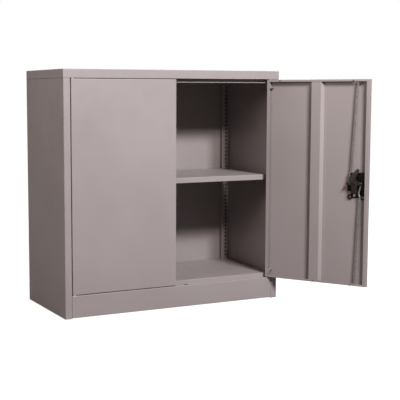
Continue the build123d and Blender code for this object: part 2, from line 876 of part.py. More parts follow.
with BuildPart() as lock_cam:
    with BuildSketch(Plane.XZ.offset(-cam_front)):
        Polygon(
            (lock_x + cam_shoulder, door_middle_z),
            (lock_x + cam_shoulder, door_middle_z + cam_shoulder_height),
            (lock_x - cam_tongue_lean, door_middle_z + cam_tongue),
            (lock_x - cam_tongue_lean - cam_tip, door_middle_z + cam_tongue - cam_tip),
            (lock_x - cam_waist, door_middle_z + cam_waist_height),
            (lock_x - cam_shoulder, door_middle_z),
            align=None,
        )
        with Locations((lock_x + cam_tab_inset, door_middle_z)):
            Rectangle(cam_tab_width, cam_tab_drop, align=Align.MAX)
        with Locations((lock_x, door_middle_z)):
            SlotOverall(2 * (cam_arm + cam_arm_end), 2 * cam_arm_end)
        with Locations((lock_x - cam_arm, door_middle_z), (lock_x + cam_arm, door_middle_z)):
            Circle(rod_radius + pin_fit, mode=Mode.SUBTRACT)
        with Locations((lock_x, door_middle_z)):
            Rectangle(spindle_square, spindle_square, mode=Mode.SUBTRACT)
    extrude(amount=-cam_gauge)
    fillet(lock_cam.edges().filter_by(Axis.Y).sort_by(Axis.Z)[-2:], radius=2 * gauge)

with BuildPart() as cam_screw:
    with BuildSketch(Plane.XZ.offset(-cam_back)):
        with Locations((lock_x, door_middle_z)):
            Circle(cam_screw_diameter / 2)
    extrude(amount=-cam_screw_head)
    chamfer(cam_screw.faces().sort_by(Axis.Y)[-1].edges(), length=gauge)

# Locking rods: each is bent through an arm of the cam, joggled past the case, and then
# runs straight to its guide

rod_eye_y = cam_back + rod_end_proud
rod_tip = door_height / 2 - rod_tip_inset


def locking_rod(up, knee_shift, joggle):
    """A rod from the cam to the door's top (up = 1) or bottom (up = -1)."""
    foot_x = lock_x + up * cam_arm
    knee_x = foot_x + knee_shift
    elbow_x = knee_x - joggle
    tip_x = foot_x - rod_tip * tan(radians(rest_lean(up)))
    with BuildPart() as rod:
        with BuildLine() as route:
            FilletPolyline(
                (foot_x, rod_eye_y, door_middle_z),
                (foot_x, rod_y, door_middle_z),
                (knee_x, rod_y, door_middle_z + up * rod_knee),
                (elbow_x, rod_y, door_middle_z + up * rod_elbow),
                (tip_x, rod_y, door_middle_z + up * rod_tip),
                radius=rod_bend,
            )
        with BuildSketch(Plane((foot_x, rod_eye_y, door_middle_z), z_dir=(0, -1, 0))):
            Circle(rod_radius)
        sweep(path=route.line)
    return rod.part


for name, piece in (
    ("lock_case", lock_case.part),
    ("handle_plate", handle_plate.part),
    ("wing_handle", wing_handle.part),
    ("key_cylinder", key_cylinder.part),
    ("key_plug", key_plug.part),
    ("handle_spindle", spindle.part),
    ("lock_cam", lock_cam.part),
    ("cam_screw", cam_screw.part),
    ("upper_rod", locking_rod(1, upper_knee_shift, upper_joggle)),
    ("lower_rod", locking_rod(-1, lower_knee_shift, lower_joggle)),
):
    keep(opened(piece), name)
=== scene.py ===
import json
import logging
import math
from collections.abc import Iterable, Sequence
from dataclasses import dataclass, field
from enum import Enum

import bmesh
import bpy
from mathutils import Matrix, Vector


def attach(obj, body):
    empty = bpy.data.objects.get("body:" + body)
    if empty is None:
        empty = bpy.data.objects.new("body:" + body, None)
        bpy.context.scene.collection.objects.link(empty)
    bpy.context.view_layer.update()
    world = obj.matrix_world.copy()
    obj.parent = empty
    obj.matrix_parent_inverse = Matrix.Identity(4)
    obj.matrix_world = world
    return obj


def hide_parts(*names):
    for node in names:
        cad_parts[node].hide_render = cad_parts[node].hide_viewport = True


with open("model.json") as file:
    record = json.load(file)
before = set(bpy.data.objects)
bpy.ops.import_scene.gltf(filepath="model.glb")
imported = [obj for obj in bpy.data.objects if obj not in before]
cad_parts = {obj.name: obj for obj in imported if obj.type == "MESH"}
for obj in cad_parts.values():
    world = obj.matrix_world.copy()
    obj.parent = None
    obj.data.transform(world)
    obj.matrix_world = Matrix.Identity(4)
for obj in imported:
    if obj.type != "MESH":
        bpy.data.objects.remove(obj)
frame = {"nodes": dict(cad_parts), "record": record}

"""Finish, small fittings and studio for a steel tool cabinet with two doors.

The frame is in metres: X to the right, Y to the back, Z up. The origin is on the
floor, in the plane of the back and halfway between the sides.
"""

LOG = logging.getLogger("tool_cabinet")
Colour = tuple[float, float, float]
Point = tuple[float, float, float]
Profile = Sequence[tuple[float, float]]
Spots = tuple[tuple[float, float], ...]
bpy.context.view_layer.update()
MM = 0.001
NOISE_RANGE = (0.3, 0.7)


class Slot(Enum):
    """The material slots of the part's record."""

    PAINT = "paint"
    ZINC = "zinc"
    DARK_STEEL = "dark_steel"
    BLACK = "black_plastic"
    CHROME = "chrome"
    RUBBER = "rubber"
    NYLON = "nylon"


class Side(Enum):
    """The side of the cabinet that a door is hung on."""

    LEFT = "left"
    RIGHT = "right"


class Facing(Enum):
    """The way that a turned fitting points, as the turn about X from straight up."""

    UP = 0.0
    INTO_CABINET = -math.pi / 2
    OUT_OF_CABINET = math.pi / 2
    DOWN = math.pi

    def at(self, x: float, y: float, z: float) -> Matrix:
        """Places a shape made along Z at a point, pointing this way."""
        return Matrix.Translation((x, y, z)) @ Matrix.Rotation(self.value, 4, "X")


class Graph:
    """A short-hand for building one material's node tree."""

    def __init__(self, name: str) -> None:
        """Starts an empty material called name with a Principled shader."""
        self.material = bpy.data.materials.new(name)
        self.material.use_nodes = True
        self.tree = self.material.node_tree
        self.shader = self.tree.nodes["Principled BSDF"]
        self.place = self.node("ShaderNodeTexCoord").outputs["Object"]

    def node(self, kind: str, **settings: object) -> bpy.types.Node:
        """Adds a node.

        Args:
            kind: the node's type name.
            settings: properties to set on it.

        Returns:
            The new node.
        """
        made = self.tree.nodes.new(kind)
        for key, value in settings.items():
            setattr(made, key, value)
        return made

    def join(self, source: bpy.types.NodeSocket, target: bpy.types.NodeSocket) -> None:
        """Links two sockets."""
        self.tree.links.new(source, target)

    def noise(self, scale: float, detail: float = 3.0,
              stretch: Point = (1.0, 1.0, 1.0)) -> bpy.types.NodeSocket:
        """Adds a noise over Object coordinates.

        Args:
            scale: repeats in each metre.
            detail: the finer layers.
            stretch: a factor on each axis.

        Returns:
            The noise from 0 to 1.
        """
        mapping = self.node("ShaderNodeMapping")
        mapping.inputs["Scale"].default_value = stretch
        self.join(self.place, mapping.inputs["Vector"])
        noise = self.node("ShaderNodeTexNoise")
        noise.inputs["Scale"].default_value = scale
        noise.inputs["Detail"].default_value = detail
        self.join(mapping.outputs["Vector"], noise.inputs["Vector"])
        return noise.outputs["Fac"]

    def span(self, value: bpy.types.NodeSocket, low: float, high: float,
             start: float = 0.0, end: float = 1.0) -> bpy.types.NodeSocket:
        """Maps a value from low..high to start..end.

        Args:
            value: the socket to map.
            low: the value that gives start.
            high: the value that gives end.
            start: the result at low.
            end: the result at high.

        Returns:
            The mapped value.
        """
        mapped = self.node("ShaderNodeMapRange")
        self.join(value, mapped.inputs["Value"])
        limits = {"From Min": low, "From Max": high, "To Min": start, "To Max": end}
        for name, number in limits.items():
            mapped.inputs[name].default_value = number
        return mapped.outputs["Result"]

    def blend(self, share: bpy.types.NodeSocket, low: Colour | bpy.types.NodeSocket,
              high: Colour) -> bpy.types.NodeSocket:
        """Mixes two colours.

        Args:
            share: 0 gives low and 1 gives high.
            low: a colour or a colour socket.
            high: a colour.

        Returns:
            The mixed colour.
        """
        mix = self.node("ShaderNodeMix", data_type="RGBA")
        self.join(share, mix.inputs["Factor"])
        if isinstance(low, bpy.types.NodeSocket):
            self.join(low, mix.inputs["A"])
        else:
            mix.inputs["A"].default_value = (*low, 1.0)
        mix.inputs["B"].default_value = (*high, 1.0)
        return mix.outputs["Result"]

    def axes(self, vector: bpy.types.NodeSocket) -> bpy.types.NodeOutputs:
        """Splits a vector into its outputs X, Y and Z."""
        parts = self.node("ShaderNodeSeparateXYZ")
        self.join(vector, parts.inputs["Vector"])
        return parts.outputs

    def times(self, first: bpy.types.NodeSocket, second: bpy.types.NodeSocket) -> bpy.types.NodeSocket:
        """Multiplies two values."""
        product = self.node("ShaderNodeMath", operation="MULTIPLY")
        self.join(first, product.inputs[0])
        self.join(second, product.inputs[1])
        return product.outputs["Value"]

    def size_of(self, value: bpy.types.NodeSocket, centre: float) -> bpy.types.NodeSocket:
        """Finds how far a value is from a centre.

        Args:
            value: the socket to measure.
            centre: the number that it is measured from.

        Returns:
            The distance, never negative.
        """
        offset = self.node("ShaderNodeMath", operation="SUBTRACT")
        self.join(value, offset.inputs[0])
        offset.inputs[1].default_value = centre
        distance = self.node("ShaderNodeMath", operation="ABSOLUTE")
        self.join(offset.outputs["Value"], distance.inputs[0])
        return distance.outputs["Value"]

    def bump(self, height: bpy.types.NodeSocket, depth: float,
             under: bpy.types.NodeSocket | None = None) -> bpy.types.NodeSocket:
        """Turns a height into a surface normal.

        Args:
            height: the height from 0 to 1.
            depth: the metres that a height of 1 stands for.
            under: a normal that this one is laid over.

        Returns:
            The bumped normal.
        """
        bump = self.node("ShaderNodeBump")
        bump.inputs["Strength"].default_value = 1.0
        bump.inputs["Distance"].default_value = depth
        self.join(height, bump.inputs["Height"])
        if under is not None:
            self.join(under, bump.inputs["Normal"])
        return bump.outputs["Normal"]

    def edge(self, reach: float) -> bpy.types.NodeSocket:
        """Finds the outer edges of a piece.

        Args:
            reach: how far from an edge the value still rises, in metres.

        Returns:
            0 on a flat face, and up to about 0.3 on a square edge.
        """
        bevel = self.node("ShaderNodeBevel", samples=4)
        bevel.inputs["Radius"].default_value = reach
        geometry = self.node("ShaderNodeNewGeometry")
        dot = self.node("ShaderNodeVectorMath", operation="DOT_PRODUCT")
        self.join(bevel.outputs["Normal"], dot.inputs[0])
        self.join(geometry.outputs["True Normal"], dot.inputs[1])
        return self.span(dot.outputs["Value"], 1.0, 0.0)

    def finish(self, colour: bpy.types.NodeSocket, roughness: bpy.types.NodeSocket,
               normal: bpy.types.NodeSocket, metallic: float = 0.0) -> bpy.types.Material:
        """Joins the last sockets to the shader.

        Args:
            colour: the base colour.
            roughness: the roughness.
            normal: the surface normal.
            metallic: 1 for bare metal.

        Returns:
            The material.
        """
        self.join(colour, self.shader.inputs["Base Color"])
        self.join(roughness, self.shader.inputs["Roughness"])
        self.join(normal, self.shader.inputs["Normal"])
        self.shader.inputs["Metallic"].default_value = metallic
        return self.material


@dataclass(frozen=True)
class PowderCoat:
    """A warm grey powder coat with a fine orange peel.

    Lengths are metres, noise scales are repeats in each metre, and a pair is the start
    and the end of a fade.
    """

    colour: Colour = (0.305, 0.262, 0.260)
    shade: Colour = (0.285, 0.243, 0.240)
    # lighter edge colour: partly rubbed paint and partly a painted highlight on the bends
    rubbed_and_highlit: Colour = (0.390, 0.345, 0.340)
    joint: Colour = (0.055, 0.047, 0.046)
    # painted shade: the near black put inside the rear uprights' channels
    dark: Colour = (0.012, 0.010, 0.009)
    gloss: float = 0.42
    cloud_scale: float = 3.1
    cloud_depth: float = 0.0004
    speck_scale: float = 900.0
    peel_scale: float = 620.0
    peel_depth: float = 0.00009
    haze_scale: float = 24.0
    wear_and_highlight_scale: float = 60.0
    wear_reach: float = 0.0026
    joint_scale: float = 40.0
    joint_fade: tuple[float, float] = (0.0004, 0.0009)
    wall_fade: tuple[float, float] = (0.3, 0.6)
    cap_bottom: float = 0.868
    post_edge: float = 0.424
    plinth_fade: tuple[float, float] = (0.084, 0.0845)
    front_fade: tuple[float, float] = (-0.398, -0.397)
    channel_middle: Point = (0.4338, -0.0082, 0.484)
    channel_half: Point = (0.0152, 0.0068, 0.381)
    channel_fade: float = 0.0003

    def painted_channel_shade(self, g: Graph) -> bpy.types.NodeSocket:
        """Finds the insides of the slotted rear uprights, where shade is painted as a near black.

        Args:
            g: the graph to build in.

        Returns:
            1 inside a channel and 0 elsewhere.
        """
        place = g.axes(g.place)
        inside = None
        for value, middle, half in zip((g.size_of(place["X"], 0.0), place["Y"], place["Z"]),
                                       self.channel_middle, self.channel_half):
            within = g.span(g.size_of(value, middle), half, half + self.channel_fade, 1.0, 0.0)
            inside = within if inside is None else g.times(inside, within)
        return inside

    def joints(self, g: Graph) -> bpy.types.NodeSocket:
        """Finds the butt joints of the shell: under the cap, and between plinth and posts.

        Args:
            g: the graph to build in.

        Returns:
            1 along a joint and 0 elsewhere.
        """
        place = g.axes(g.place)
        facing = g.axes(g.node("ShaderNodeNewGeometry").outputs["True Normal"])
        wall = g.span(g.size_of(facing["Z"], 0.0), *self.wall_fade, 1.0, 0.0)
        under_cap = g.span(g.size_of(place["Z"], self.cap_bottom), *self.joint_fade, 1.0, 0.0)
        post = g.size_of(g.size_of(place["X"], 0.0), self.post_edge)
        beside_post = g.span(post, *self.joint_fade, 1.0, 0.0)
        low = g.span(place["Z"], *self.plinth_fade, 1.0, 0.0)
        ahead = g.span(place["Y"], *self.front_fade, 1.0, 0.0)
        foot = g.times(g.times(beside_post, low), ahead)
        uneven = g.span(g.noise(self.joint_scale), *NOISE_RANGE, 0.45, 0.75)
        both = g.node("ShaderNodeMath", operation="MAXIMUM")
        g.join(g.times(under_cap, wall), both.inputs[0])
        g.join(g.times(foot, uneven), both.inputs[1])
        return both.outputs["Value"]

    def material(self) -> bpy.types.Material:
        """Builds the coat's material."""
        g = Graph("powder_coat")
        cloud = g.noise(self.cloud_scale, detail=2.0)
        speck = g.noise(self.speck_scale, detail=1.0)
        peel = g.noise(self.peel_scale, detail=2.0)
        tone = g.blend(g.span(cloud, 0.35, 0.65), self.shade, self.colour)
        tone = g.blend(g.span(speck, 0.66, 0.80, 0.0, 0.25), tone, self.shade)
        # wear and painted highlight: the edges are lightened, partly as rubbed paint and partly as the
        # highlight that the bends catch
        worn = g.span(g.edge(self.wear_reach), 0.02, 0.25, 0.0, 0.6)
        patches = g.span(g.noise(self.wear_and_highlight_scale), 0.35, 0.65, 0.5, 1.0)
        tone = g.blend(g.times(worn, patches), tone, self.rubbed_and_highlit)
        tone = g.blend(self.joints(g), tone, self.joint)
        # painted shade: the insides of the rear uprights' channels are darkened to near black
        tone = g.blend(self.painted_channel_shade(g), tone, self.dark)
        haze = g.noise(self.haze_scale, detail=4.0)
        rough = g.span(haze, *NOISE_RANGE, self.gloss - 0.05, self.gloss + 0.07)
        return g.finish(tone, rough, g.bump(peel, self.peel_depth, g.bump(cloud, self.cloud_depth)))


@dataclass(frozen=True)
class BareSteel:
    """Zinc plated or dark steel, drawn or rolled along Z."""

    name: str
    colour: Colour
    stain: Colour
    gloss: float
    grain: float = 0.00004
    metallic: float = 0.8
    spangle_scale: float = 140.0
    scratch_scale: float = 900.0
    drawn: Point = (1.0, 1.0, 0.08)

    def material(self) -> bpy.types.Material:
        """Builds the steel's material."""
        g = Graph(self.name)
        spangle = g.noise(self.spangle_scale)
        scratch = g.noise(self.scratch_scale, detail=2.0, stretch=self.drawn)
        tone = g.blend(g.span(spangle, 0.38, 0.64), self.stain, self.colour)
        rough = g.span(scratch, *NOISE_RANGE, self.gloss - 0.08, self.gloss + 0.10)
        return g.finish(tone, rough, g.bump(scratch, self.grain), self.metallic)


@dataclass(frozen=True)
class Moulded:
    """A moulded plastic or rubber with a fine grain."""

    name: str
    colour: Colour
    worn: Colour
    gloss: float
    grain: float = 0.00006
    sheen: float = 0.5
    pebble_scale: float = 1500.0
    cloud_scale: float = 45.0
    wear_reach: float = 0.0008

    def material(self) -> bpy.types.Material:
        """Builds the moulding's material."""
        g = Graph(self.name)
        pebble = g.noise(self.pebble_scale, detail=2.0)
        cloud = g.noise(self.cloud_scale)
        tone = g.blend(g.span(cloud, 0.35, 0.7, 0.0, 0.5), self.colour, self.worn)
        tone = g.blend(g.span(g.edge(self.wear_reach), 0.03, 0.3, 0.0, 0.5), tone, self.worn)
        rough = g.span(cloud, *NOISE_RANGE, self.gloss - 0.06, self.gloss + 0.08)
        g.shader.inputs["Specular IOR Level"].default_value = self.sheen
        return g.finish(tone, rough, g.bump(pebble, self.grain))


@dataclass(frozen=True)
class StudioFloor:
    """A plain pale studio floor that runs out to white, as a sweep of paper does."""

    colour: Colour = (0.20, 0.20, 0.20)
    bounce: Colour = (0.135, 0.126, 0.119)
    near: float = 1.0
    far: float = 3.5
    near_glow: float = 0.92
    far_glow: float = 1.0
    matt_scale: float = 8.0
    fibre_scale: float = 200.0
    fibre_depth: float = 0.0001

    def material(self) -> bpy.types.Material:
        """Builds the floor's material, which throws less light up than it shows."""
        g = Graph("studio_floor")
        seen = g.node("ShaderNodeLightPath").outputs["Is Camera Ray"]
        tone = g.blend(seen, self.bounce, self.colour)
        length = g.node("ShaderNodeVectorMath", operation="LENGTH")
        g.join(g.place, length.inputs[0])
        distance = length.outputs["Value"]
        glow = g.span(distance, self.near, self.far, self.near_glow, self.far_glow)
        g.shader.inputs["Emission Color"].default_value = (1.0, 1.0, 1.0, 1.0)
        g.join(g.times(seen, glow), g.shader.inputs["Emission Strength"])
        rough = g.span(g.noise(self.matt_scale), *NOISE_RANGE, 0.80, 0.90)
        return g.finish(tone, rough, g.bump(g.noise(self.fibre_scale), self.fibre_depth))


FINISHES = {
    Slot.PAINT: PowderCoat(),
    Slot.ZINC: BareSteel("zinc_plate", colour=(0.47, 0.435, 0.42), stain=(0.33, 0.304, 0.294), gloss=0.34),
    Slot.DARK_STEEL: BareSteel("oiled_steel", colour=(0.064, 0.053, 0.050), stain=(0.042, 0.035, 0.033),
                               gloss=0.44, grain=0.00002),
    Slot.BLACK: Moulded("lock_case_black", colour=(0.0016, 0.0014, 0.0014), worn=(0.006, 0.0055, 0.0055),
                        gloss=0.46, grain=0.00005, sheen=0.20),
    Slot.CHROME: BareSteel("chrome_plate", colour=(0.70, 0.70, 0.70), stain=(0.62, 0.62, 0.62),
                           gloss=0.14, grain=0.00001),
    Slot.RUBBER: Moulded("buffer_rubber", colour=(0.020, 0.018, 0.017), worn=(0.045, 0.042, 0.040),
                         gloss=0.70),
    Slot.NYLON: Moulded("bush_nylon", colour=(0.60, 0.58, 0.54), worn=(0.50, 0.48, 0.44), gloss=0.50),
}
# A lighter, less metallic copy of the zinc: partly fresh zinc plate, partly a painted glint for the bracket
# screws that sit in shade.
ZINC_WITH_PAINTED_GLINT = BareSteel("zinc_with_painted_glint", colour=(0.80, 0.78, 0.76), stain=(0.66, 0.64, 0.62),
                        gloss=0.24, grain=0.00001, metallic=0.6)


@dataclass(frozen=True)
class Hinge:
    """The pivot line of the right door, in millimetres, and the doors' places."""

    x: float = 413.0
    y: float = -394.5
    opening: float = 122.0

    def place(self, side: Side) -> Matrix:
        """Finds the move from the closed right door to a door as it stands.

        Args:
            side: the door.

        Returns:
            The mirror for the left door, which is closed, or the turn of the open right one.
        """
        if side is Side.LEFT:
            return Matrix.Scale(-1.0, 4, (1.0, 0.0, 0.0))
        line = Matrix.Translation((self.x, self.y, 0.0))
        return line @ Matrix.Rotation(math.radians(self.opening), 4, "Z") @ line.inverted()


class Workpiece:
    """A mesh in the making, in millimetres, that ends as one piece on one body."""

    sharp = math.radians(32.0)
    flat = math.radians(1.0)
    weld = 1e-3

    def __init__(self, name: str, body: str, slot: Slot, stands_for: Sequence[str] = ()) -> None:
        """Starts an empty mesh.

        Args:
            name: the piece's name.
            body: the body that it rides on.
            slot: the slot that it takes its finish from.
            stands_for: the nodes that it replaces.
        """
        self.name = name
        self.body = body
        self.slot = slot
        self.stands_for = tuple(stands_for)
        self.shape = bmesh.new()

    def add(self, part: bmesh.types.BMesh, place: Matrix) -> None:
        """Adds a shape at its place, with its faces pointing outwards.

        Args:
            part: the shape, which is used up.
            place: the move to where it belongs.
        """
        bmesh.ops.transform(part, matrix=place, verts=part.verts)
        bmesh.ops.remove_doubles(part, verts=part.verts, dist=self.weld)
        bmesh.ops.recalc_face_normals(part, faces=part.faces)
        joint = bpy.data.meshes.new(self.name)
        part.to_mesh(joint)
        part.free()
        self.shape.from_mesh(joint)
        bpy.data.meshes.remove(joint)

    def lathe(self, profile: Profile, place: Matrix, steps: int = 24) -> None:
        """Adds a shape that is turned about its own Z.

        Args:
            profile: pairs of radius and height along the outline.
            place: the move to where it belongs.
            steps: the faces round it.
        """
        part = bmesh.new()
        corners = [part.verts.new((radius, 0.0, height)) for radius, height in profile]
        line = [part.edges.new(pair) for pair in zip(corners, corners[1:])]
        bmesh.ops.spin(part, geom=corners + line, cent=(0.0, 0.0, 0.0), axis=(0.0, 0.0, 1.0),
                       angle=math.tau, steps=steps, use_merge=True)
        self.add(part, place)

    def block(self, low: Point, high: Point, place: Matrix, edge: float = 0.3) -> None:
        """Adds a block with rounded edges.

        Args:
            low: its lowest corner.
            high: its highest corner.
            place: the move to where it belongs.
            edge: the width of the rounding.
        """
        part = bmesh.new()
        size = [end - start for start, end in zip(low, high)]
        middle = [(start + end) / 2 for start, end in zip(low, high)]
        sized = Matrix.Translation(middle) @ Matrix.Diagonal((*size, 1.0))
        bmesh.ops.create_cube(part, size=1.0, matrix=sized)
        self.round_over(part, part.edges, edge)
        self.add(part, place)

    def copy_of(self, node: str, edge: float, segments: int = 2) -> None:
        """Adds a copy of a node with its facets joined and its sharp edges rounded.

        Args:
            node: the node to copy.
            edge: the width of the rounding.
            segments: the steps across it.
        """
        part = bmesh.new()
        part.from_mesh(frame["nodes"][node].data)
        bmesh.ops.scale(part, vec=(1 / MM, 1 / MM, 1 / MM), verts=part.verts)
        bmesh.ops.remove_doubles(part, verts=part.verts, dist=self.weld)
        bmesh.ops.dissolve_limit(part, angle_limit=self.flat, verts=part.verts, edges=part.edges)
        part.normal_update()
        corners = [line for line in part.edges
                   if line.is_manifold and line.calc_face_angle() > self.sharp]
        self.round_over(part, corners, edge, segments)
        self.add(part, Matrix.Identity(4))

    @staticmethod
    def round_over(part: bmesh.types.BMesh, lines: Iterable[bmesh.types.BMEdge], width: float,
                   segments: int = 2) -> None:
        """Rounds edges of a shape.

        Args:
            part: the shape.
            lines: its edges to round.
            width: the width of the rounding.
            segments: the steps across it.
        """
        bmesh.ops.bevel(part, geom=list(lines), offset=width, offset_type="OFFSET", affect="EDGES",
                        segments=segments, profile=0.5, material=-1, clamp_overlap=True)

    def finish(self, materials: dict[Slot, bpy.types.Material]) -> bpy.types.Object:
        """Makes the object, hangs it on its body and hides the nodes that it stands for.

        Args:
            materials: the finishes by slot.

        Returns:
            The piece.
        """
        bmesh.ops.scale(self.shape, vec=(MM, MM, MM), verts=self.shape.verts)
        for face in self.shape.faces:
            face.smooth = True
        for line in self.shape.edges:
            line.smooth = line.is_manifold and line.calc_face_angle() < self.sharp
        mesh = bpy.data.meshes.new(self.name)
        self.shape.to_mesh(mesh)
        self.shape.free()
        mesh.materials.append(materials[self.slot])
        piece = bpy.data.objects.new(self.name, mesh)
        bpy.context.scene.collection.objects.link(piece)
        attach(piece, self.body)
        if self.stands_for:
            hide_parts(*self.stands_for)
        LOG.info("%s: %d faces on %s", self.name, len(mesh.polygons), self.body)
        return piece


@dataclass(frozen=True)
class SpotWeld:
    """The shallow ring that a spot-welding tip leaves in sheet steel, in millimetres."""

    radius: float = 2.6
    height: float = 0.22
    dip: float = 0.05
    floor_share: float = 0.55
    crest_share: float = 0.72
    steps: int = 10

    def row(self, piece: Workpiece, start: Point, step: Point, count: int, place: Matrix,
            facing: Facing) -> None:
        """Adds a row of welds to a piece.

        Args:
            piece: the piece that they are part of.
            start: the first weld.
            step: the way from each weld to the next.
            count: how many.
            place: the move to where the row belongs.
            facing: the way that the sheet faces.
        """
        outline = [(0.0, self.dip), (self.floor_share * self.radius, self.dip),
                   (self.crest_share * self.radius, self.height), (self.radius, 0.0), (0.0, 0.0)]
        for index in range(count):
            spot = [begin + index * way for begin, way in zip(start, step)]
            piece.lathe(outline, place @ facing.at(*spot), self.steps)


@dataclass(frozen=True)
class CrossScrew:
    """A pan-head screw with a cross recess, in millimetres, made along Z."""

    radius: float = 3.5
    height: float = 1.6
    cross: float = 1.9
    depth: float = 0.9
    cells: int = 5
    crown_share: float = 0.72
    shoulder: Spots = ((0.92, 0.28), (1.0, 0.62), (1.0, 1.0))

    def add_to(self, piece: Workpiece, place: Matrix) -> None:
        """Adds the screw's head to a piece.

        Args:
            piece: the piece that it is part of.
            place: the move to where it belongs.
        """
        part = bmesh.new()
        bmesh.ops.create_grid(part, x_segments=self.cells, y_segments=self.cells, size=self.cross)
        border = [line for line in part.edges if line.is_boundary]
        ring = bmesh.ops.create_circle(part, segments=len(border), radius=self.crown_share * self.radius,
                                       matrix=Matrix.Rotation(math.pi / 4, 4, "Z"))
        circle = list({line for corner in ring["verts"] for line in corner.link_edges})
        bmesh.ops.bridge_loops(part, edges=border + circle)
        for spread, drop in self.shoulder:
            grown = bmesh.ops.extrude_edge_only(part, edges=circle)["geom"]
            corners = [item for item in grown if isinstance(item, bmesh.types.BMVert)]
            circle = [item for item in grown if isinstance(item, bmesh.types.BMEdge)]
            for corner in corners:
                flat = Vector((corner.co.x, corner.co.y)).normalized() * self.radius * spread
                corner.co = (flat.x, flat.y, -self.height * drop)
        bmesh.ops.edgeloop_fill(part, edges=circle)
        cell = 2 * self.cross / self.cells
        sunk = [face for face in part.faces if self.in_cross(face, cell)]
        floor = bmesh.ops.extrude_face_region(part, geom=sunk)["geom"]
        bmesh.ops.delete(part, geom=sunk, context="FACES")
        bmesh.ops.translate(part, vec=(0.0, 0.0, -self.depth),
                            verts=[item for item in floor if isinstance(item, bmesh.types.BMVert)])
        piece.add(part, place @ Matrix.Translation((0.0, 0.0, self.height)))

    @staticmethod
    def in_cross(face: bmesh.types.BMFace, cell: float) -> bool:
        """Tells whether a face of the grid is part of the cross."""
        middle = face.calc_center_median()
        across, along = sorted((abs(middle.x), abs(middle.y)))
        return middle.z > -0.01 and across < cell / 2 and along < 1.5 * cell


@dataclass
class Carcass:
    """The shell's small parts: welds on shelf and floor, the bracket's screws and the grommet.

    All sizes are millimetres.
    """

    shelf_top: float = 494.0
    shelf_middle: float = -195.0
    floor_top: float = 100.0
    floor_middle: float = -191.5
    weld_spread: float = 35.0
    weld_reach: float = 360.0
    weld_count: int = 9
    front: float = -400.0
    ledge_slot: Point = (45.8, -388.5, 84.0)
    grommet_stretch: float = 1.74
    grommet_outline: Profile = (
        (4.2, 0.0), (5.7, 0.0), (5.7, 0.5), (5.3, 1.0), (4.6, 1.0), (4.2, 0.6), (4.2, 0.0))
    grommet_steps: int = 32
    screws: dict[str, tuple[float, float]] = field(default_factory=lambda: {
        "plinth_screw": (419.5, 78.5), "post_screw": (431.0, 61.5)})

    def welds(self) -> Workpiece:
        """Builds the welds that hold the stiffeners under the shelf and the floor."""
        piece = Workpiece("shelf_and_floor_welds", "carcass", Slot.PAINT)
        step = 2 * self.weld_reach / (self.weld_count - 1)
        for top, middle in ((self.shelf_top, self.shelf_middle), (self.floor_top, self.floor_middle)):
            for side in (-1, 1):
                start = (-self.weld_reach, middle + side * self.weld_spread, top)
                SpotWeld().row(piece, start, (step, 0.0, 0.0), self.weld_count,
                               Matrix.Identity(4), Facing.UP)
        return piece

    def bracket_screws(self) -> Workpiece:
        """Builds the two screws of the lower right pivot bracket."""
        piece = Workpiece("pivot_bracket_screws", "carcass", Slot.ZINC, tuple(self.screws))
        for x, z in self.screws.values():
            CrossScrew().add_to(piece, Facing.OUT_OF_CABINET.at(x, self.front, z))
        return piece

    def grommet(self) -> Workpiece:
        """Builds the oval grommet round the lower rod's slot in the plinth's ledge: a guessed dark rubber
        ring that stands in for the shade inside the slot.
        """
        piece = Workpiece("ledge_grommet", "carcass", Slot.RUBBER)
        place = Matrix.Translation(self.ledge_slot) @ Matrix.Diagonal((self.grommet_stretch, 1.0, 1.0, 1.0))
        piece.lathe(self.grommet_outline, place, self.grommet_steps)
        return piece

    def build(self, materials: dict[Slot, bpy.types.Material]) -> None:
        """Builds and hands over each piece."""
        self.welds().finish(materials)
        # the bracket screws take the lighter zinc copy, which paints on their glint
        glint_materials = {**materials, Slot.ZINC: ZINC_WITH_PAINTED_GLINT.material()}
        self.bracket_screws().finish(glint_materials)
        self.grommet().finish(materials)


